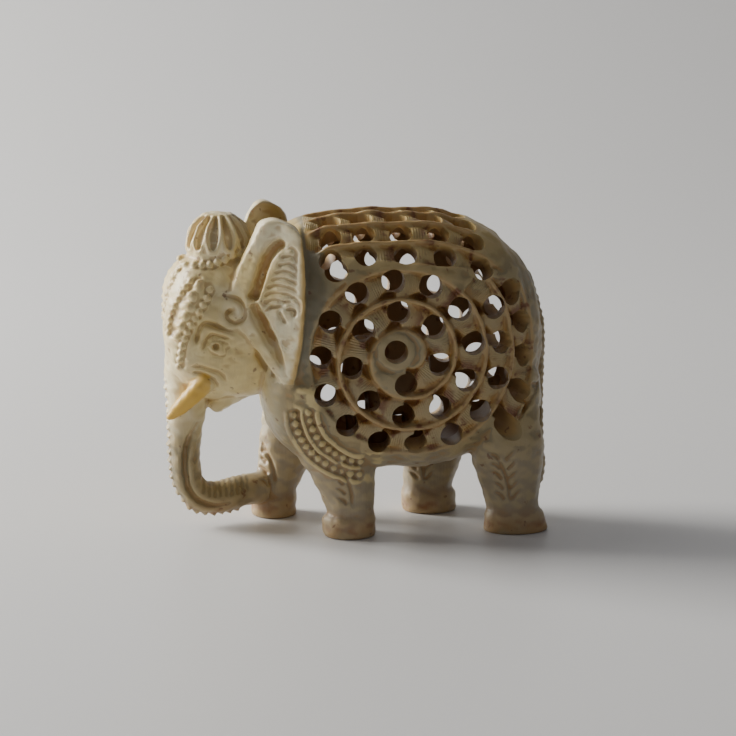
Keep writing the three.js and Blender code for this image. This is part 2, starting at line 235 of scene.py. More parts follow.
LEGS = {
    "left_front": (-1, [
        (0, -2.7, 6.6, 5.9), (1, -2.9, 6.9, 6.2), (4.6, -2.9, 6.9, 6.2), (6.2, -2.3, 6.1, 5.6),
        (12, -3.4, 7.4, 6), (24, -7, 10.6, 6.8), (36, -10, 12.6, 7.2), (48, -11, 11, 6),
    ]),
    "left_rear": (-1, [
        (0, 41, 8.5, 5.9), (1, 40.9, 8.6, 6.2), (4.4, 40.6, 8.2, 6.2), (6.4, 40.2, 7, 5.7),
        (12, 39.5, 7.6, 6.1), (24, 38, 10.2, 7), (38, 38, 8, 6),
    ]),
    "right_front": (1, [
        (0, -20.4, 5.9, 5.9), (1, -20.4, 6.2, 6.2), (4.6, -20.4, 6.2, 6.2),
        (6.6, -20.2, 5.6, 5.6), (24, -15, 8.4, 6.8), (36, -12, 11, 7),
    ]),
    "right_rear": (1, [
        (0, 21.6, 7.2, 5.9), (1, 21.6, 7.4, 6.2), (4.6, 21.6, 7.4, 6.2),
        (6.6, 21.2, 6.4, 5.6), (26, 24, 10, 6.8), (36, 28, 12, 7),
    ]),
}
TRUNK = [
    (-40.6, 0, 53, 8.6, 9.4), (-43, 0, 43, 6.6, 7.2), (-44, 0, 34, 5.3, 5.6),
    (-44.6, 0, 26, 4.4, 4.8), (-44.6, 0, 18, 4, 4.5), (-43.2, 0.6, 11, 4.2, 4.5),
    (-39, 1.6, 7.9, 4.3, 4.6), (-33, 3.6, 7.9, 4.3, 4.6), (-24, 9, 8.4, 4.3, 4.6),
]
CHIN = [(-28, 0, 41, 5, 8), (-32, 0, 37.4, 4, 6), (-37.6, 0, 32.4, 2.2, 4)]
TAIL = [
    (44.6, 0, 66, 1.6, 2.2), (48, 0, 56, 1.6, 2.1), (48.9, 0, 46, 1.4, 2), (48.7, 0, 35, 1.4, 2),
    (48.2, -2, 24, 1.6, 2.2), (47.6, -6, 15.5, 2, 3.3), (46.4, -9, 9.8, 1.2, 1.4),
]
rough_forms = [
    rounded_block("barrel", BARREL, 96, 64),
    rounded_block("rump", RUMP),
    rounded_block("skull", SKULL, 96, 56),
    rounded_block("crown", CROWN),
    limb("trunk", TRUNK),
    limb("chin", CHIN),
    limb("tail", TAIL),
]
rough_forms += [leg(name, side, sections) for name, (side, sections) in LEGS.items()]
rough_forms += [ear(f"ear_{i}", side) for i, side in enumerate((-1, 1))]
rough_forms += [tusk(f"tusk_{i}", side) for i, side in enumerate((-1, 1))]
elephant = join(rough_forms, "carved_elephant")
apply_modifier(elephant, "REMESH", mode="VOXEL", voxel_size=GRAIN * MM)
apply_modifier(elephant, "SMOOTH", factor=0.5, iterations=7)
rough_surface = BVHTree.FromPolygons(
    [v.co.copy() for v in elephant.data.vertices],
    [tuple(p.vertices) for p in elephant.data.polygons],
)


# ---- The lattice, set out ----
# Each flank carries one long spiral row of cells and the back carries straight rows. A cell is
# a drilled hole with a leaf in front of it, parted by ribs from the rows beside it.
HOLE = {"radius": 3.0, "depth": 12, "straight": 0.9}
SPIRAL = {"x": 10.4, "z": 49.2, "start": 5.3, "pitch": 8.4, "squash": 0.04, "step": 9.65}
FIELD = {
    "front": -12.8,
    "neck": -10.9,
    "floor": 24.8,
    "chest": 1.1,
    "top": 70.2,
    "fall": 0.115,
    "bend": 34,
    "rear": 44,
    "reach": 24.6,
}
BACK = {"rows": 4, "spacing": 7.15, "step": 8.6, "spread": 0.6, "columns": 5, "x": 0.5}
RIB = 0.85  # half the width of a rib between two rows
LEAN = 0.8  # how far outside its row's middle each hole of the flank is drilled


def barrel_girth(x):
    """The share of its full section that the barrel has left at a place along it."""
    ahead = x < BARREL["centre"][0]
    profile = np.where(ahead, BARREL["front_profile"], BARREL["profile"])
    length = np.where(ahead, BARREL["front"], BARREL["half"][0])
    reach = np.minimum(1, np.abs((x - BARREL["centre"][0]) / length))
    return (1 - reach**profile) ** (1 / profile)


def barrel_side(x, z):
    """Half width of the barrel at a place seen from the side."""
    rise = np.abs((z - BARREL["centre"][2]) / BARREL["half"][2])
    section = np.where(z < BARREL["centre"][2], BARREL["belly"], BARREL["section"])
    left = barrel_girth(x) ** section - rise**section
    return BARREL["half"][1] * np.maximum(0, left) ** (1 / section)


def barrel_out(point):
    """The way the barrel faces at a point of its surface."""
    x, y, z = point
    ahead = x < BARREL["centre"][0]
    profile = BARREL["front_profile"] if ahead else BARREL["profile"]
    section = BARREL["belly"] if z < BARREL["centre"][2] else BARREL["section"]
    half = np.array([BARREL["front"] if ahead else BARREL["half"][0], *BARREL["half"][1:]])
    q = (np.array(point) - BARREL["centre"]) / half
    share = (abs(q[1]) ** section + abs(q[2]) ** section) ** (profile / section - 1)
    out = power(q, np.array([profile - 1, section - 1, section - 1])) / half
    out[1:] *= share
    return out / np.linalg.norm(out)


def row_reach(turn):
    """How far over the flank the spiral row lies from its centre after some turns."""
    rise = np.maximum(0, -np.sin(2 * math.pi * turn))
    return (SPIRAL["start"] + SPIRAL["pitch"] * turn) * (1 - SPIRAL["squash"] * rise)


STRIDE = 0.4
SPAN = 60
ANGLES = 360
angle_table = np.linspace(0, 2 * math.pi, ANGLES + 1)[:, None]
run_table = np.arange(0, SPAN, STRIDE)[None, :]
side_table = barrel_side(
    SPIRAL["x"] + run_table * np.cos(angle_table), SPIRAL["z"] + run_table * np.sin(angle_table)
)
step_table = np.hypot(STRIDE, np.diff(side_table, axis=1))
step_table[side_table[:, 1:] <= 0] = 10 * STRIDE
reach_table = np.hstack([np.zeros((ANGLES + 1, 1)), np.cumsum(step_table, axis=1)])


def flank_reach(x, z):
    """How far over the flank's surface a place lies from the spiral's centre, and its angle."""
    dx, dz = x - SPIRAL["x"], z - SPIRAL["z"]
    angle = np.arctan2(dz, dx) % (2 * math.pi)
    run = np.minimum(np.hypot(dx, dz) / STRIDE, reach_table.shape[1] - 1.001)
    sweep = angle / (2 * math.pi) * ANGLES
    i, j = sweep.astype(int) % ANGLES, run.astype(int)
    a, b = sweep - sweep.astype(int), run - j
    low = reach_table[i, j] * (1 - b) + reach_table[i, j + 1] * b
    high = reach_table[i + 1, j] * (1 - b) + reach_table[i + 1, j + 1] * b
    return low * (1 - a) + high * a, angle


def flank_point(turn):
    """Where the spiral row lies on the left flank after some turns."""
    angle = math.pi * (1 + 2 * turn)
    sweep = (angle % (2 * math.pi)) / (2 * math.pi) * ANGLES
    run = np.interp(row_reach(turn), reach_table[int(round(sweep)) % ANGLES], run_table[0])
    x = SPIRAL["x"] + run * math.cos(angle)
    z = SPIRAL["z"] + run * math.sin(angle)
    return np.array([x, -float(barrel_side(x, z)), z])


def band_height(x):
    return FIELD["top"] - FIELD["fall"] * x - 0.03 * np.maximum(0, x - FIELD["bend"]) ** 2


def in_field(x, z):
    floor = FIELD["floor"] + FIELD["chest"] * np.maximum(0, -x)
    return (x > FIELD["front"]) & (x < FIELD["rear"]) & (z > floor) & (z < band_height(x))


spiral_turns = [0.25]
while spiral_turns[-1] < 4.6:
    turn = spiral_turns[-1]
    spiral_turns.append(turn + SPIRAL["step"] / (2 * math.pi * float(row_reach(turn))))
spiral_turns = np.array(spiral_turns)
spiral_points = np.array([flank_point(turn) for turn in spiral_turns])
spiral_open = in_field(spiral_points[:, 0], spiral_points[:, 2]) & (spiral_turns < 4.5)
pulled_in = spiral_open & (spiral_points[:, 0] < FIELD["neck"])
spiral_points[pulled_in, 0] = FIELD["neck"]
spiral_points[:, 1] = -barrel_side(spiral_points[:, 0], spiral_points[:, 2])
eye_point = np.array([SPIRAL["x"] - 2.6, 0, SPIRAL["z"] + 1.3])
eye_point[1] = -float(barrel_side(eye_point[0], eye_point[2]))

back_turns = np.linspace(math.pi / 2, 0, 300)
back_y = BARREL["half"][1] * power(np.cos(back_turns), 2 / BARREL["section"])
back_z = BARREL["half"][2] * power(np.sin(back_turns), 2 / BARREL["section"])
back_arc = np.concatenate([[0], np.cumsum(np.hypot(np.diff(back_y), np.diff(back_z)))])


def back_point(row, column):
    """Where a cell of the back lies, to the left of the ridge."""
    step = BACK["step"] + BACK["spread"] * row
    run = BACK["x"] - BARREL["centre"][0] + (column - 1) * step
    x = BARREL["centre"][0] + BARREL["half"][0] * math.sin(run / BARREL["half"][0])
    girth = float(barrel_girth(x))
    turn = np.interp(BACK["spacing"] * row / girth, back_arc, back_turns)
    y = np.interp(turn, back_turns[::-1], back_y[::-1])
    z = np.interp(turn, back_turns[::-1], back_z[::-1])
    return np.array([x, -girth * y, BARREL["centre"][2] + girth * z])


holes = [(point, False) for point in spiral_points[spiral_open]] + [(eye_point, False)]
for row in range(BACK["rows"]):
    for column in range(BACK["columns"] + (row == BACK["rows"] - 1)):
        holes.append((back_point(row, column), row == 0))


# ---- The relief ----
# Gouged and filed into the block's surface by hand: the ribs and leaves of the lattice, the
# harness, the face, the ears and the marks on trunk and legs, the same on both sides.
surface = read_points(elephant)
normals = np.empty(len(surface) * 3)
elephant.data.vertices.foreach_get("normal", normals)
normals = normals.reshape(-1, 3)
x, y, z = surface.T
folded = np.column_stack([x, np.abs(y), z])
height = np.zeros(len(surface))
sideways = np.abs(normals[:, 1])
off_barrel = np.abs(np.abs(y) - barrel_side(x, z))
flank = (x > -16) & (sideways > 0.12) & (off_barrel < 6)


def trace(points, reach, where):
    """The stone within reach of a line: which places, how far off, how far along, and its length."""
    line = spline(points, np.linspace(0, 1, 10 * len(points)))
    places = folded[:, [0, 2]] if line.shape[1] == 2 else folded
    low, high = line.min(0) - reach, line.max(0) + reach
    chosen = np.flatnonzero(where & (places > low).all(1) & (places < high).all(1))
    places = places[chosen]
    off = np.full(len(chosen), np.inf)
    along = np.zeros(len(chosen))
    gone = 0
    for start, run in zip(line[:-1], np.diff(line, axis=0)):
        length = np.linalg.norm(run)
        share = np.clip((places - start) @ run / length**2, 0, 1)
        gap = np.linalg.norm(places - start - share[:, None] * run, axis=1)
        closer = gap < off
        off[closer] = gap[closer]
        along[closer] = gone + share[closer] * length
        gone += length
    kept = off < reach
    return chosen[kept], off[kept], along[kept], gone


def groove(points, width, depth, where, start=0.3, end=0.3, keen=2):
    """Cuts a groove along a line, running out over a share of it at its start and end."""
    at, off, along, length = trace(points, width, where)
    share = along / length
    ends = smooth(share / max(start, 1e-6)) * smooth((1 - share) / max(end, 1e-6))
    body = 1 - (off / (width * (0.4 + 0.6 * ends))) ** keen
    height[at] -= depth * ends * np.maximum(0, body)


def ridge(points, width, rise, where, start=0.1, end=0.1):
    at, off, along, length = trace(points, width, where)
    share = along / length
    ends = smooth(share / max(start, 1e-6)) * smooth((1 - share) / max(end, 1e-6))
    height[at] += rise * ends * smooth((1 - off / width) * 1.6)


def cell_relief(ahead, across, half_row, lean, step):
    """Height of one cell: a leaf between two grooves that run from the hole out to nothing."""
    inner = half_row - RIB
    gone = np.clip((ahead - 1.6) / (step - 3.6), 0, 1)
    middle = lean * (1 - gone)
    off = np.abs(across - middle)
    leaf = 1.9 + (inner - 1.9) * smooth(gone * 1.1)
    room = np.where(across > middle, inner - middle, inner + middle)
    leaf = np.minimum(leaf, room)
    share = np.clip((off - leaf) / np.maximum(0.3, room - leaf), 0, 1)
    bite = 3.0 * (1 - gone) ** 0.7 * np.sin(math.pi * share) ** 0.6 * (off < room)
    scoop = 0.55 + 0.85 * (1 - gone) + 0.5 * np.minimum(1, off / np.maximum(leaf, 0.5)) ** 2
    wall = smooth((half_row - RIB * 0.5 - np.abs(across)) / 0.45)
    return -(scoop + bite) * wall


def flank_place(x, z):
    """Where a place lies in the flank's spiral: the cell, how far ahead of its hole, how far across."""
    reach, angle = flank_reach(x, z)
    part = (angle - math.pi) / (2 * math.pi) % 1
    squashed = reach / (1 - SPIRAL["squash"] * np.maximum(0, -np.sin(2 * math.pi * part)))
    outward = (squashed - SPIRAL["start"] + LEAN) / SPIRAL["pitch"]
    turns = part + np.maximum(0, np.round(outward - part))
    cell = np.interp(turns, spiral_turns, np.arange(len(spiral_turns)))
    number = np.clip(cell.astype(int), 0, len(spiral_turns) - 1)
    across = (outward - turns) * SPIRAL["pitch"]
    inside = spiral_open[number] & (turns >= spiral_turns[0]) & (np.abs(across) <= SPIRAL["pitch"] / 2)
    return cell, (cell - number) * SPIRAL["step"], across, inside


def back_place(x, y, z):
    """The same for the back's rows."""
    girth = np.maximum(0.02, barrel_girth(x))
    c = np.abs(y) / (BARREL["half"][1] * girth)
    s = np.maximum(0, z - BARREL["centre"][2]) / (BARREL["half"][2] * girth)
    turn = np.arctan2(s ** (BARREL["section"] / 2), c ** (BARREL["section"] / 2))
    arc = girth * np.interp(turn, back_turns[::-1], back_arc[::-1])
    row = np.clip(np.round(arc / BACK["spacing"]), 0, BACK["rows"] - 1)
    step = BACK["step"] + BACK["spread"] * row
    along = np.clip((x - BARREL["centre"][0]) / BARREL["half"][0], -1, 1)
    place = (BARREL["half"][0] * np.arcsin(along) + BARREL["centre"][0] - BACK["x"]) / step + 1
    column = np.ceil(place)
    across = arc - row * BACK["spacing"]
    inside = (z > BARREL["centre"][2] + 12) & (z > band_height(x) + 3.6) & (x > -14)
    inside &= (column >= 0) & (column <= BACK["columns"] - 1 + (row == BACK["rows"] - 1))
    inside &= np.abs(across) < BACK["spacing"] / 2
    return place, (column - place) * step, across, inside


# The flank's spiral, with a gouge inside the rib that bounds it in front and below.
at = np.flatnonzero(flank)
cell, ahead, across, inside = flank_place(x[at], z[at])
relief = cell_relief(ahead, across, SPIRAL["pitch"] / 2, LEAN, SPIRAL["step"])
edge = smooth((band_height(x[at]) + 2.0 - z[at]) / 0.7)
from_eye = np.hypot(x[at] - SPIRAL["x"], z[at] - SPIRAL["z"])
front_edge = np.where(x[at] < 3, smooth((FIELD["reach"] - from_eye) / 0.6), 1)
height[at] += relief * inside * edge * front_edge
core = np.hypot(x[at] - eye_point[0], z[at] - eye_point[2])
height[at] -= 0.5 * smooth((core - 4.4) / 0.5) * smooth((6.4 - core) / 0.8)

# The back's rows.
place, ahead, across, inside = back_place(x, y, z)
at = np.flatnonzero(inside & (off_barrel < 30))
relief = cell_relief(ahead[at], across[at], BACK["spacing"] / 2, 0.3, BACK["step"])
height[at] += relief * smooth((z[at] - band_height(x[at]) - 3.6) / 0.6) * smooth((x[at] + 14) / 3)

# The neck is filed down between the ear and the lattice, which leaves the ear standing proud.
def ear_rear(z):
    """How far back the ear reaches at a height."""
    return np.interp(z, (40, 44, 52, 62, 79), (-19.2, -17.8, -16.2, -15.1, -15.2))


panel = (x > -20) & (x < -6) & (sideways > 0.3)
PANEL_DEPTH = 1.5
valley = smooth((x - ear_rear(z)) / 0.9) * smooth((-8.6 - x) / 3.4)
valley *= smooth((z - 40) / 5) * smooth((82 - z) / 6)
height -= PANEL_DEPTH * valley * panel

# The harness: two strings of beads between three raised cords, curving down the shoulder.
shoulder = (sideways > 0.35) & (x > -24) & (x < 6)
STRAP = {"x": 1.8, "z": 37, "cords": (14.3, 18.0, 21.7), "beads": (16.2, 19.8), "from": 1.02, "to": 1.48}


def strap_arc(radius, start=0.0, end=0.0):
    angles = np.linspace(STRAP["from"] + start, STRAP["to"] + end, 8) * math.pi
    return [(STRAP["x"] + radius * math.cos(a), STRAP["z"] + radius * math.sin(a)) for a in angles]


strings = []
for radius in STRAP["beads"]:
    groove(strap_arc(radius), 1.5, 0.9, shoulder, 0.03, 0.03, 4)
    strings.append((strap_arc(radius, 0.01 - 0.004 * (19.8 - radius), -0.01), 2.15, 1.08))
for radius in STRAP["cords"]:
    ridge(strap_arc(radius), 1.0, 0.8, shoulder)

# The ear: a deep fold behind its root, ribs across the shell, a curled leaf and fine lines.
ear_face = (sideways > 0.55) & (x < -14) & (np.abs(y) > ear_side(x) - 2.4)
fold = [
    (-19.3, 78.3), (-21.8, 77.6), (-24, 75.2), (-25.3, 72.4), (-26.3, 69.2), (-27.2, 66.2),
    (-28.4, 62.8),
]
groove(fold, 1.6, 2.5, ear_face, 0.12, 0.05, 3)
lower_fold = [
    (-28.6, 62.6), (-27, 59.6), (-25.4, 56.6), (-23.6, 53.2), (-22, 49.8), (-20.6, 46.4),
    (-19.2, 43),
]
groove(lower_fold, 1.8, 2.6, ear_face, 0.05, 0.6, 2)
for i in range(9):
    drop = 1.9 * i
    front = -20.4 - 4.9 * smooth(np.array(i / 7))
    line = [
        (front - 0.6, 76.6 - 1.1008 * drop),
        (front + 2.2, 76.9 - drop),
        (-17.6 - 0.05 * i, 75.9 - drop),
        (-16.7 - 0.16 * i, 73.6 - drop),
    ]
    groove(line, 0.75, 0.75, ear_face, 0.1, 0.35)
ear_leaf = [
    (-25.6, 62.2), (-22.9, 61.6), (-20.6, 62.7), (-18.2, 64.3), (-16.9, 63.2), (-16.5, 61.2),
    (-17.2, 59.2),
]
groove(ear_leaf, 0.6, 0.6, ear_face, 0.15, 0.3)
groove([(-21.8, 61.2), (-20.9, 59.2), (-19.6, 57)], 0.7, 0.9, ear_face, 0.2, 0.4)
groove([(-20.2, 60.9), (-18.7, 61.5), (-17.9, 60.5), (-18.3, 59.2)], 0.7, 0.9, ear_face, 0.3, 0.2)
for i in range(8):
    drop = 1.05 * i
    groove([(-24.9 + 0.55 * i, 58.6 - drop), (-22 + 0.4 * i, 58 - drop), (-17.6 + 0.02 * i, 57.4 - drop)],
           0.36, 0.22, ear_face, 0.1, 0.4)
groove([(-27.6, 51.6), (-26.5, 48.8), (-25.2, 46.4), (-23.4, 43.8), (-21, 41.3)], 0.95, 1.1,
       (sideways > 0.4) & (x < -18), 0.35, 0.35)

# The face: a double brow, an almond eye with a drilled pupil, a curl on the temple, and two
# folds of lip round the root of each tusk.
face = (sideways > 0.3) & (x < -27)
high_brow = [(-42.4, 51), (-42, 54.2), (-40.9, 56.5), (-39.2, 57.1), (-36, 55.9), (-31.7, 54.2)]
mid_brow = [(-41.4, 50), (-40.7, 52.8), (-39.7, 54.9), (-38.4, 55.6), (-35.4, 54.8), (-32.4, 53.6)]
low_brow = [(-40.9, 49.6), (-39.9, 52.2), (-39, 53.6), (-37.8, 54.1), (-35, 53.4), (-32.2, 52.6)]
groove(high_brow, 0.85, 1.35, face, 0.15, 0.35)
ridge(mid_brow, 0.7, 0.35, face)
groove(low_brow, 0.6, 0.95, face, 0.15, 0.3)
upper_lid = [(-39.6, 51.2), (-38.2, 52.8), (-35.6, 52.3), (-33.2, 51.5)]
lower_lid = [(-39.6, 51.2), (-38.5, 49.9), (-36.6, 48.6), (-34.9, 48.9), (-34.4, 50.2), (-33.4, 51.4)]
groove(upper_lid, 0.4, 0.45, face, 0.1, 0.2)
groove(lower_lid, 0.45, 0.5, face, 0.1, 0.1)
at, off, along, length = trace([(-37.25, 51.1), (-37.1, 51.1)], 2.2, face)
height[at] += 0.45 * smooth((1.9 - off) / 0.6) * smooth((off - 0.7) / 0.3)
height[at] -= 0.9 * smooth((0.95 - off) / 0.45)
curl = [
    (-37.6, 63.9), (-33.6, 63.9), (-31.1, 62.6), (-29.9, 60.6), (-30.2, 58.4), (-32, 57.3),
    (-33.7, 58), (-34.2, 59.5), (-33.2, 60.4),
]
groove(curl, 0.85, 1.3, face, 0.35, 0.02)
at, off, along, length = trace([(-33.4, 60.1), (-33.2, 60.2)], 1.1, face)
height[at] -= 0.6 * smooth((1.1 - off) / 0.8)
lip = (x < -30) & (np.abs(y) > 3)
groove([(-44.6, 45.5), (-40, 45.3), (-36.2, 43.9), (-34, 41)], 0.75, 0.8, lip, 0.2, 0.2)
groove([(-43.8, 43.6), (-40.3, 43.6), (-37.8, 42.2), (-36.2, 39.8)], 0.65, 0.8, lip, 0.15, 0.2)

# The forehead: strings of beads run down from the knob and close in over the trunk, with
# bosses and scrolled ridges between them.
brow = (x < -30) & (z > 28)


def skull_front(side, up):
    """The front of the skull at a place seen from ahead."""
    half, centre = SKULL["half"], SKULL["centre"]
    across = np.abs(side / half[1]) ** SKULL["section"]
    across += np.abs((up - centre[2]) / half[2]) ** SKULL["section"]
    left = np.maximum(0, 1 - across ** (SKULL["profile"] / SKULL["section"]))
    return centre[0] - half[0] * left ** (1 / SKULL["profile"])


def forehead_line(stations):
    """A line down the forehead, through places given as distance to the side and height."""
    points = []
    for side, up in stations:
        front = float(skull_front(side, up)) if up > 46 else -48.6 + 0.06 * (side * side)
        points.append((front, side, up))
    return points


NEAR_STRING = [
    (-38, 66.2), (-39.3, 63.2), (-40.8, 60.8), (-42.1, 58.3), (-43.4, 56.2), (-44.3, 54.4),
    (-45, 52.4), (-45.6, 50.2), (-46, 47.2), (-46.3, 44),
]
FAR_STRING = [
    (-42.4, 68), (-44.2, 66), (-45.7, 63.6), (-46.9, 61.2), (-47.8, 58.8), (-48.4, 56), (-48.6, 52.6),
]
temple = brow & (sideways > 0.12)
for line, size in ((NEAR_STRING, 0.95), (FAR_STRING, 0.88)):
    groove(line, 1.3, 0.7, temple, 0.02, 0.05, 4)
    strings.append((line, 2.05 * size, size))
middle_string = forehead_line([(5.2, 71.6), (4.6, 68), (4, 64), (3.2, 60), (2.4, 56)])
groove(middle_string, 1.25, 0.5, brow, 0.02, 0.05, 4)
strings_3d = [(middle_string, 2.05, 0.85)]
for i in range(6):
    share = i / 6
    boss_x, boss_z = -41.2 - 6.2 * share**0.7, 66.4 - 15.5 * share
    size = 1.35 - 0.4 * share
    at, off, along, length = trace([(boss_x, boss_z), (boss_x - 0.1, boss_z - 0.1)], size, temple)
    height[at] += 0.75 * np.sqrt(np.maximum(0, 1 - (off / size) ** 2))
    groove([(boss_x + 1.5, boss_z + 1.6), (boss_x - 0.2, boss_z + 1.9), (boss_x - 1.5, boss_z + 0.6)],
           0.5, 0.6, temple, 0.3, 0.3)
ridge(forehead_line([(3.2, 72), (2.8, 68), (2.3, 64), (1.6, 60)]), 0.7, 0.35, brow)

# The knob on the crown: hollowed petals round a plain cap, over a ring of beads.
cx, cy, cz = CROWN["centre"]
on_crown = (z > 70.5) & (np.hypot(x - cx, y - cy) < 11) & (x < -25)
around = np.arctan2(y - cy, x - cx)
steep = np.arctan2(np.hypot(x - cx, y - cy), z - cz + 2.5)
PETALS = 14
petal = around / (2 * math.pi) * PETALS
wing = (petal - np.round(petal)) * 2 * math.pi / PETALS * np.hypot(x - cx, y - cy)
share = (steep - 0.28) / 1.02
petal_width = 0.5 + 1.0 * np.sin(math.pi * np.clip(share, 0, 1) ** 1.5) ** 0.8
hollowed = smooth((petal_width - np.abs(wing)) / 0.55) * smooth(share / 0.12) * smooth((1 - share) / 0.12)
rim = smooth((petal_width + 0.75 - np.abs(wing)) / 0.5)
rim *= smooth((share + 0.06) / 0.1) * smooth((1.1 - share) / 0.1)
PETAL_RIM, PETAL_DEPTH = 0.45, 1.55
height += on_crown * (PETAL_RIM * rim - PETAL_DEPTH * hollowed)
ring_angles = np.linspace(0, math.pi, 14)
crown_ring = [
    (cx - 8.9 * math.cos(a), 9.9 * math.sin(a), 72.4 - 2.6 * math.cos(a)) for a in ring_angles
]
strings_3d.append((crown_ring, 2.15, 1.0))
groove(crown_ring, 1.5, 0.5, (z > 66) & (x < -25) & (z < 77), 0.02, 0.02, 4)

# The trunk: notched down its front, a long groove and ridge on each side, wrinkles inside
# the bend. The same notches edge the tail.
trunk = (x < -30) & (z < 44)
trunk_groove = [
    (-41.2, 30.4), (-43.2, 26.4), (-44.6, 22.5), (-45.1, 18.6), (-44.9, 14.7), (-43.9, 10.9),
    (-41.6, 8), (-38, 6.6), (-34.6, 6.6), (-31, 7.8),
]
trunk_ridge = [(-40, 30), (-41.8, 26), (-43, 22), (-43.4, 18), (-43.1, 14), (-41.6, 10.8)]
groove(trunk_groove, 1.15, 1.8, trunk & (sideways > 0.25), 0.25, 0.3, 2)
ridge(trunk_ridge, 0.9, 0.4, trunk & (sideways > 0.2), 0.2, 0.3)
toothed = (x < -30) & (z < 40) & (np.abs(y - np.interp(-x, [24, 33, 40, 60], [9, 3.6, 1.4, 0])) < 2.4)
outer_side = (normals[:, 0] < -0.45) | (normals[:, 2] < -0.45)
bend_turn = np.arctan2(-(x + 37), -(z - 13))
run_down = np.where(z > 13, 9 * math.pi / 2 + z, 9 * bend_turn + 13)
run_down = np.where(x > -37, -24 - x, run_down)
TOOTH_PITCH = 2.15
tooth = (run_down / TOOTH_PITCH) % 1
height += toothed * outer_side * (x < -30.5) * (1.3 * (1 - tooth) - 0.5)
wrinkled = (x < -28) & (x > -44) & (z > 7) & (z < 16) & (normals[:, 2] > 0.2)
height -= wrinkled * 0.28 * (0.5 + 0.5 * np.sin(2 * math.pi * x / 1.5)) * smooth((x + 44) / 2)
tail_zone = (x > 44) & (z < 64) & (np.abs(y - np.interp(z, [9, 16, 24, 35], [-9, -6, -2, 0])) < 2.6)
tail_out = tail_zone & (normals[:, 0] > 0.3)
height += tail_out * 0.4 * (np.abs(np.sin(math.pi * z / 1.9)) - 0.4)
groove([(47.6, 3, 18.6), (48.2, 5.4, 15.6), (47.6, 7.8, 12.4)], 1.5, 1.4, (x > 43) & (y < 0), 0.2, 0.2, 2)

# The legs: slanted leaf cuts beside a curved stem.
for name, (side, sections) in LEGS.items():
    own = (y * side > 0) & (sideways > 0.3) & (z < 30)
    mid = sections[3][1]
    front_leg = "front" in name
    stem_x = mid - (1.2 if front_leg else 2.6)
    stem = [
        (stem_x - 3.6, 22.6), (stem_x - 1.2, 17.6), (stem_x + 0.4, 13.4), (stem_x + 0.9, 7.6),
    ]
    groove(stem, 0.65, 1.0, own, 0.35, 0.3)
    for i in range(5):
        low = 9.4 + 2.7 * i
        root = stem_x - 0.4 - 0.42 * i
        leaf = [(root, low), (root - 1.6, low + 1.4), (root - 3.6, low + 2.1)]
        groove(leaf, 0.6, 0.9, own, 0.1, 0.6)
        if not front_leg:
            leaf = [(root + 1.4, low), (root + 2.9, low + 1.5), (root + 4.2, low + 3)]
            groove(leaf, 0.55, 0.75, own, 0.1, 0.6)

# Nothing is quite even: file and gouge leave slow waves all over.
waver = np.zeros(len(surface))
rng = np.random.default_rng(11)
for wavelength, size in ((14, 0.10), (8, 0.07), (4.2, 0.05), (2.2, 0.03)):
    for _ in range(4):
        direction = rng.normal(size=3)
        direction *= 2 * math.pi / wavelength / np.linalg.norm(direction)
        waver += size * np.sin(surface @ direction + rng.uniform(0, 2 * math.pi))
height += waver * smooth(z / 2)
carved = surface + normals * height[:, None]
carved[:, 2] = np.where(surface[:, 2] < 0.6, np.maximum(0, surface[:, 2]), np.maximum(0, carved[:, 2]))
write_points(elephant, carved)


# ---- Beads ----
# Rounded one by one with a hollow punch and left standing in their grooves.
carved_surface = BVHTree.FromPolygons(
    [v.co.copy() for v in elephant.data.vertices],
    [tuple(p.vertices) for p in elephant.data.polygons],
)


def bead_places(points, pitch):
    line = spline(points, np.linspace(0, 1, 40 * len(points)))
    gone = np.concatenate([[0], np.cumsum(np.linalg.norm(np.diff(line, axis=0), axis=1))])
    count = int(gone[-1] / pitch)
    marks = (np.arange(count) + 0.5) * gone[-1] / count
    return np.column_stack([np.interp(marks, gone, line[:, i]) for i in range(line.shape[1])])


bead_model = ball("bead", 16, 10)
beads = []
for points, pitch, size in strings + strings_3d:
    for spot in bead_places(points, pitch):
        for side in (-1, 1):
            if len(spot) == 2:
                start = Vector((spot[0], side * 40, spot[1])) * MM
                hit = carved_surface.ray_cast(start, Vector((0, -side, 0)))
            else:
                hit = carved_surface.find_nearest(Vector((spot[0], side * spot[1], spot[2])) * MM)
            if hit[0] is None or (len(spot) == 2 and abs(hit[0].y) < 2 * MM):
                continue
            bead = bead_model.copy()
            bead.data = bead_model.data.copy()
            place = hit[0] + hit[1] * size * 0.3 * MM
            bead.data.transform(Matrix.Translation(place) @ Matrix.Scale(size, 4))
            bpy.context.collection.objects.link(bead)
            beads.append(bead)
bpy.data.objects.remove(bead_model)
elephant = join([elephant] + beads, "carved_elephant")
apply_modifier(elephant, "REMESH", mode="VOXEL", voxel_size=GRAIN * MM)


# ---- The hollow and the holes ----
# The holes are drilled through the shell, and the inside is hollowed out through them.
HOLLOW = {
    "centre": (14, 0, 50.5),
    "half": (29, 18.6, 27.9),
    "section": 2.4,
    "belly": 3.4,
    "profile": 2.25,
    "front": 28.5,
    "front_profile": 4,
}
cutter = rounded_block("hollow", HOLLOW, 48, 32)


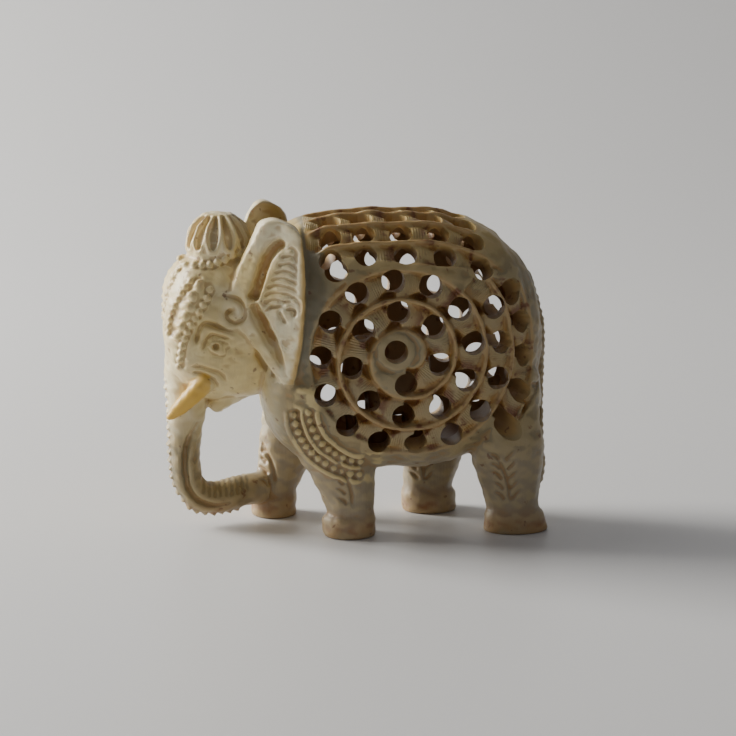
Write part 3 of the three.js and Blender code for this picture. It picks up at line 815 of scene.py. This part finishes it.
def drill(point, number):
    out = barrel_out(point)
    if abs(out[1]) > HOLE["straight"]:
        out = np.array([0, np.sign(out[1]), 0])
    elif out[2] > HOLE["straight"]:
        out = np.array([0, 0, 1])
    turn = Vector(out).to_track_quat("Z", "Y").to_euler()
    bpy.ops.object.select_all(action="DESELECT")
    bpy.ops.mesh.primitive_cylinder_add(
        vertices=28,
        radius=HOLE["radius"] * MM,
        depth=2 * HOLE["depth"] * MM,
        location=Vector(point) * MM,
        rotation=turn,
    )
    bpy.context.object.name = f"hole_{number}"
    bpy.ops.object.transform_apply(location=True, rotation=True)
    return bpy.context.object


number = 0
for point, on_ridge in holes:
    for side in (1,) if on_ridge else (1, -1):
        hole = drill(point * np.array([1, side, 1]), number)
        apply_modifier(cutter, "BOOLEAN", operation="UNION", solver="MANIFOLD", object=hole)
        bpy.data.objects.remove(hole)
        number += 1
apply_modifier(elephant, "BOOLEAN", operation="DIFFERENCE", solver="MANIFOLD", object=cutter)
bpy.data.objects.remove(cutter)


# ---- The small elephant inside ----
# Left standing on the floor of the hollow, and roughly shaped through the holes.
INSIDE = {"x": 10.5, "floor": HOLLOW["centre"][2] - HOLLOW["half"][2]}
CALF = {"section": 2.2, "profile": 2.2}
calf_body = CALF | {"centre": (INSIDE["x"], 0, 41), "half": (9.5, 7, 12)}
calf_head = CALF | {"centre": (INSIDE["x"] - 9, 0, 44), "half": (4.4, 4.9, 6.6)}
inner_forms = [
    rounded_block("calf_body", calf_body, 32, 20),
    rounded_block("calf_head", calf_head, 32, 20),
    limb("calf_trunk", [
        (INSIDE["x"] - 11.2, 0, 45, 2.4, 2.6), (INSIDE["x"] - 12.2, 0, 38, 1.9, 2),
        (INSIDE["x"] - 11.6, 0, 30, 1.6, 1.8), (INSIDE["x"] - 11.2, 0, INSIDE["floor"] - 1, 1.6, 1.8),
    ], 16, 20),
]
for side in (-1, 1):
    calf_ear = {"section": 2, "profile": 2}
    calf_ear |= {"centre": (INSIDE["x"] - 6.4, side * 5.2, 45), "half": (3, 1.3, 5.6)}
    inner_forms.append(rounded_block(f"calf_ear_{side + 1}", calf_ear, 20, 12))
    for fore, x_leg in enumerate((-4.6, 5.2)):
        leg_x = INSIDE["x"] + x_leg
        calf_leg = [
            (leg_x, side * 3.6, 38, 3, 3), (leg_x, side * 3.6, INSIDE["floor"] - 1.5, 2.7, 2.6),
        ]
        inner_forms.append(limb(f"calf_leg_{side + 1}_{fore}", calf_leg, 16, 12))
calf = join(inner_forms, "calf")
apply_modifier(calf, "REMESH", mode="VOXEL", voxel_size=0.7 * MM)
apply_modifier(calf, "SMOOTH", factor=0.5, iterations=3)
apply_modifier(elephant, "BOOLEAN", operation="UNION", solver="MANIFOLD", object=calf)
bpy.data.objects.remove(calf)

MOST_TRIANGLES = 197000
triangles = sum(len(p.vertices) - 2 for p in elephant.data.polygons)
apply_modifier(elephant, "DECIMATE", ratio=MOST_TRIANGLES / triangles, use_collapse_triangulate=True)
bpy.ops.object.shade_smooth_by_angle(angle=math.radians(50))


# ---- Marks the stone's colour follows ----
# Deep cuts and hole walls are honey to red-brown as painted glow and painted shade, hollows are darkened
# as painted shade, edges are rubbed pale, the ear's rear rim is a painted highlight, the neck behind the
# ear is painted shade, the top of the back is painted light, the head is cream.
points = read_points(elephant)
x, y, z = points.T
depths = np.array([
    (rough_surface.find_nearest(v.co)[3] or 0) / MM for v in elephant.data.vertices
])
edges = np.empty(len(elephant.data.edges) * 2, int)
elephant.data.edges.foreach_get("vertices", edges)
edges = edges.reshape(-1, 2)
normals = np.empty(len(points) * 3)
elephant.data.vertices.foreach_get("normal", normals)
normals = normals.reshape(-1, 3)


def settle(values, rounds):
    """Evens a value out over neighbouring points."""
    count = np.bincount(edges.ravel(), minlength=len(points)).astype(float)
    for _ in range(rounds):
        total = np.bincount(edges[:, 0], values[edges[:, 1]], len(points))
        total += np.bincount(edges[:, 1], values[edges[:, 0]], len(points))
        values = 0.5 * values + 0.5 * total / np.maximum(1, count)
    return values


blurred = np.column_stack([settle(points[:, i], 4) for i in range(3)])
bulge = ((points - blurred) * normals).sum(1)
tusk_stations = [(-39.6, 9.8, 41.4), (-43, 9.2, 37.8), (-46.6, 7.8, 33.9), (-49.4, 6.6, 31)]
tusk_line = spline(tusk_stations, np.linspace(0, 1, 30))
to_tusk = np.column_stack([x, np.abs(y), z])[:, None, :] - tusk_line[None]
near_tusk = np.min(np.linalg.norm(to_tusk, axis=2), axis=1)
on_flank = (x > -14) & (np.abs(normals[:, 1]) > 0.3) & (np.abs(np.abs(y) - barrel_side(x, z)) < 3)
cell, ahead, across, inside = flank_place(x, z)
place, back_ahead, back_across, on_back = back_place(x, y, z)
on_flank &= inside & (z < band_height(x) + 2)
on_flank &= (x > 3) | (np.hypot(x - SPIRAL["x"], z - SPIRAL["z"]) < FIELD["reach"])
on_back &= (depths < 3) & ~on_flank
half_row = np.where(on_flank, SPIRAL["pitch"], BACK["spacing"]) / 2
across = np.where(on_flank, across, back_across)
ahead = np.where(on_flank, ahead, back_ahead)
in_rows = on_flank | on_back
from_rib = half_row - np.abs(across)
on_ear = smooth((ear_rear(z) + 0.5 - x) / 0.5) * (np.abs(y) > ear_side(x) - 3.4) * (z > 42)
bare_neck = (1 - on_ear) * (1 - in_rows) * (depths < 2.5)
on_strap = np.hypot(x - STRAP["x"], z - STRAP["z"])
shoulder = (x > -18) & (x < 5) & (z < 41) & (np.abs(y) > 13)
shoulder &= (np.abs(normals[:, 1]) > 0.3) & (depths < 2.5)
marks = {
    # depth: how far a point lies below the rough block; the colour uses it for painted glow and painted
    # shade in cuts and hole walls
    "depth": np.clip(depths / 6, 0, 1) * ((x > -9) | (depths > 2.2)),
    # neck: the filed-down neck behind the ear, which the colour darkens as painted shade
    "neck": bare_neck * smooth((x - ear_rear(z)) / 0.6) * smooth((-7 - x) / 4) * smooth((z - 42) / 8),
    "rasp": np.where(on_flank, cell * SPIRAL["step"], place * BACK["step"]),
    "rasped": in_rows * smooth((from_rib - 1.2) / 0.6),
    "rib": in_rows * smooth((1.5 - from_rib) / 0.5) * smooth((1.2 - depths) / 0.6),
    "tip": in_rows * smooth((ahead - 2.4) / 0.6) * smooth((6.4 - ahead) / 3),
    # edge: low in hollows, which the colour darkens as painted shade; high on raised edges, which it rubs
    # pale as wear
    "edge": np.clip(0.5 + settle(bulge, 1) * 4, 0, 1),
    "pale": np.maximum(smooth((-19 - x) / 7), on_ear) * smooth((z - 20) / 14),
    # rim: the ear's rear edge, which gets a painted amber highlight
    "rim": on_ear * smooth((x - ear_rear(z) + 1.5) / 1.0) * smooth((82 - z) / 4),
    # strap: the harness band, whose raised beads and cords get a painted highlight
    "strap_highlight": shoulder * smooth((on_strap - 13.2) / 0.6) * smooth((22.8 - on_strap) / 0.6),
    "honey": smooth((3.3 - near_tusk) / 0.8) * (x < -38.5),
    "foot": smooth((9 - z) / 5) * (0.5 + 0.5 * smooth((5 - z) / 3)),
    "leg": smooth((27 - z) / 8) * smooth((x + 30) / 6),
    "brow": smooth((-34 - x) / 8) * smooth((z - 40) / 12),
    # top: the top of the back, which the colour paints lighter as painted light from above
    "top": smooth((z - 66) / 14),
}
for name, values in marks.items():
    attribute = elephant.data.attributes.new(name, "FLOAT", "POINT")
    attribute.data.foreach_set("value", np.asarray(values, np.float32))

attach(elephant, "root")
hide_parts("elephant")


# ---- Soapstone ----
# A soft, slightly waxy stone, cream where the light falls on it and olive-grey in the body,
# with honey to red-brown in the cuts as painted glow and painted shade, rust on the feet and fine
# scratches from the file.
stone = bpy.data.materials.new("soapstone")
stone.use_nodes = True
nodes = stone.node_tree.nodes
links = stone.node_tree.links
nodes.clear()
output = nodes.new("ShaderNodeOutputMaterial")
shader = nodes.new("ShaderNodeBsdfPrincipled")
links.new(shader.outputs["BSDF"], output.inputs["Surface"])
shader.inputs["Roughness"].default_value = 0.42
shader.inputs["Specular IOR Level"].default_value = 0.45
shader.inputs["Subsurface Weight"].default_value = 0.12
shader.inputs["Subsurface Scale"].default_value = 0.002
shader.inputs["Subsurface Radius"].default_value = (1.0, 0.62, 0.28)
coordinates = nodes.new("ShaderNodeTexCoord")


def mark(name):
    node = nodes.new("ShaderNodeAttribute")
    node.attribute_name = name
    return node.outputs["Fac"]


def noise(scale, detail=3, stretch=(1, 1, 1)):
    mapping = nodes.new("ShaderNodeMapping")
    mapping.inputs["Scale"].default_value = stretch
    links.new(coordinates.outputs["Object"], mapping.inputs["Vector"])
    node = nodes.new("ShaderNodeTexNoise")
    node.inputs["Scale"].default_value = scale
    node.inputs["Detail"].default_value = detail
    links.new(mapping.outputs["Vector"], node.inputs["Vector"])
    return node.outputs["Fac"]


def span(value, low, high, to_low=0.0, to_high=1.0):
    node = nodes.new("ShaderNodeMapRange")
    node.interpolation_type = "SMOOTHSTEP"
    links.new(value, node.inputs["Value"])
    node.inputs["From Min"].default_value = low
    node.inputs["From Max"].default_value = high
    node.inputs["To Min"].default_value = to_low
    node.inputs["To Max"].default_value = to_high
    return node.outputs["Result"]


def times(a, b):
    node = nodes.new("ShaderNodeMath")
    node.operation = "MULTIPLY"
    for value, socket in ((a, node.inputs[0]), (b, node.inputs[1])):
        if isinstance(value, (int, float)):
            socket.default_value = value
        else:
            links.new(value, socket)
    return node.outputs["Value"]


def blend(share, low, high):
    node = nodes.new("ShaderNodeMix")
    node.data_type = "RGBA"
    links.new(share, node.inputs["Factor"])
    for value, socket in ((low, node.inputs["A"]), (high, node.inputs["B"])):
        if isinstance(value, tuple):
            node.inputs[6 if socket == node.inputs["A"] else 7].default_value = (*value, 1)
        else:
            links.new(value, node.inputs[6 if socket == node.inputs["A"] else 7])
    return node.outputs[2]


CREAM = (0.74, 0.67, 0.46)
BUTTER = (0.70, 0.56, 0.26)
OLIVE = (0.255, 0.19, 0.085)
GREY = (0.225, 0.19, 0.115)
TAN = (0.36, 0.205, 0.07)
PALE = (0.52, 0.40, 0.20)
# painted glow and painted shade for cuts and hole walls
PAINTED_CUT_GLOW = (0.46, 0.235, 0.05)
PAINTED_HOLLOW_SHADE = (0.22, 0.075, 0.02)
OXIDE = (0.13, 0.035, 0.018)
RUST = (0.30, 0.14, 0.05)
FOOT = (0.34, 0.28, 0.19)
# painted shade for the neck behind the ear
PAINTED_NECK_SHADE = (0.21, 0.19, 0.13)
body = blend(span(noise(70, 4), 0.38, 0.66), GREY, OLIVE)
# The top of the back is painted lighter and yellower as painted light from above.
body = blend(times(mark("top"), 0.8), body, (0.46, 0.33, 0.11))
body = blend(times(mark("rib"), 0.75), body, TAN)
body = blend(times(mark("leg"), 0.8), body, FOOT)
head = blend(span(noise(55, 4), 0.42, 0.66), CREAM, BUTTER)
head = blend(times(mark("brow"), 0.7), head, BUTTER)
colour = blend(mark("pale"), body, head)
colour = blend(times(mark("foot"), span(noise(160, 4), 0.35, 0.62, 0.35, 1)), colour, RUST)
# Cuts turn honey, then red-brown deeper in: painted glow of light through the stone and painted shade in
# the hollows.
colour = blend(times(span(mark("depth"), 0.08, 0.34), 0.7), colour, PAINTED_CUT_GLOW)
colour = blend(times(span(mark("depth"), 0.3, 0.75), 0.85), colour, PAINTED_HOLLOW_SHADE)
# Hollows between raised parts are darkened towards tan as painted shade; raised edges are rubbed pale as
# wear.
colour = blend(times(span(mark("edge"), 0.5, 0.28), 0.5), colour, TAN)
colour = blend(times(span(mark("edge"), 0.53, 0.8), 0.4), colour, PALE)
colour = blend(mark("honey"), colour, (0.62, 0.38, 0.06))
# The ear's rear rim gets a painted amber highlight.
colour = blend(times(mark("rim"), 0.75), colour, (0.52, 0.32, 0.07))
# The neck behind the ear is darkened as painted shade.
colour = blend(times(mark("neck"), 0.85), colour, PAINTED_NECK_SHADE)
# Raised beads and cords of the harness get a painted yellow highlight.
colour = blend(times(mark("strap_highlight"), span(mark("edge"), 0.46, 0.75, 0, 0.6)), colour, BUTTER)
blotches = times(mark("tip"), span(noise(260, 3), 0.5, 0.62))
colour = blend(times(blotches, 0.8), colour, OXIDE)
colour = blend(times(span(noise(420, 2), 0.66, 0.74), 0.6), colour, OXIDE)
links.new(colour, shader.inputs["Base Color"])
RASP_PITCH = 0.62  # millimetres between the teeth marks across each leaf
wave = nodes.new("ShaderNodeMath")
wave.operation = "SINE"
links.new(times(mark("rasp"), 2 * math.pi / RASP_PITCH), wave.inputs[0])
rasp = nodes.new("ShaderNodeBump")
rasp.inputs["Strength"].default_value = 0.55
rasp.inputs["Distance"].default_value = 0.00012
worn = span(noise(330, 2), 0.35, 0.6)
links.new(times(times(wave.outputs["Value"], mark("rasped")), worn), rasp.inputs["Height"])
scratches = noise(900, 2, (1, 1, 0.12))
bump = nodes.new("ShaderNodeBump")
bump.inputs["Strength"].default_value = 0.4
bump.inputs["Distance"].default_value = 0.0003
links.new(scratches, bump.inputs["Height"])
links.new(rasp.outputs["Normal"], bump.inputs["Normal"])
links.new(bump.outputs["Normal"], shader.inputs["Normal"])
elephant.data.materials.clear()
elephant.data.materials.append(stone)


# ---- Floor, light and camera ----
# A pale table swept up into a plain backdrop, a soft light from behind on the left.
bpy.ops.object.select_all(action="DESELECT")
bpy.ops.mesh.primitive_plane_add(size=1)
floor = bpy.context.object
floor.name = "table"
bpy.ops.object.mode_set(mode="EDIT")
bpy.ops.transform.resize(value=(8, 3.2, 1), center_override=(0, 0, 0))
bpy.ops.transform.translate(value=(0, -0.4, 0))
bpy.ops.mesh.select_all(action="DESELECT")
bpy.ops.mesh.select_mode(type="EDGE")
bpy.ops.object.mode_set(mode="OBJECT")
corners = floor.data.vertices
for line in floor.data.edges:
    line.select = all(corners[i].co.y > 1 for i in line.vertices)
bpy.ops.object.mode_set(mode="EDIT")
bpy.ops.mesh.extrude_region_move(TRANSFORM_OT_translate={"value": (0, 0, 3)})
bpy.ops.object.mode_set(mode="OBJECT")
corners = floor.data.vertices
for line in floor.data.edges:
    line.select = all(corners[i].co.y > 1 and corners[i].co.z < 1 for i in line.vertices)
bpy.ops.object.mode_set(mode="EDIT")
bpy.ops.mesh.bevel(offset=0.9, segments=24, affect="EDGES")
bpy.ops.object.mode_set(mode="OBJECT")
bpy.ops.object.shade_smooth()
paint = bpy.data.materials.new("table")
paint.use_nodes = True
paint.node_tree.nodes["Principled BSDF"].inputs["Base Color"].default_value = (0.68, 0.675, 0.67, 1)
paint.node_tree.nodes["Principled BSDF"].inputs["Roughness"].default_value = 0.45
floor.data.materials.append(paint)

world = bpy.data.worlds.new("studio")
bpy.context.scene.world = world
world.use_nodes = True
world.node_tree.nodes["Background"].inputs["Color"].default_value = (0.5, 0.5, 0.52, 1)
world.node_tree.nodes["Background"].inputs["Strength"].default_value = 0.4


def lamp(name, place, size, power_w, colour, aim=(0, 0, 0.04)):
    data = bpy.data.lights.new(name, "AREA")
    data.shape = "RECTANGLE"
    data.size, data.size_y = size
    data.energy = power_w
    data.color = colour
    lamp_object = bpy.data.objects.new(name, data)
    lamp_object.location = place
    lamp_object.rotation_euler = (Vector(aim) - Vector(place)).to_track_quat("-Z", "Y").to_euler()
    bpy.context.collection.objects.link(lamp_object)


lamp("window", (-0.95, 0.42, 0.42), (0.5, 0.6), 30, (1, 0.98, 0.93))
lamp("backdrop", (-0.9, 0.5, 1.2), (1.0, 0.6), 6, (1, 1, 1), (-0.2, 1.2, 0.35))

camera_data = bpy.data.cameras.new("camera")
camera_data.lens = 130.7
camera = bpy.data.objects.new("camera", camera_data)
AIM = Vector((0.0035, 0, 0.0417))
AZIMUTH, ELEVATION, DISTANCE = math.radians(-7), math.radians(11.5), 0.7
camera.location = AIM + DISTANCE * Vector((
    math.sin(AZIMUTH) * math.cos(ELEVATION),
    -math.cos(AZIMUTH) * math.cos(ELEVATION),
    math.sin(ELEVATION),
))
camera.rotation_euler = (AIM - camera.location).to_track_quat("-Z", "Y").to_euler()
bpy.context.collection.objects.link(camera)
bpy.context.scene.camera = camera
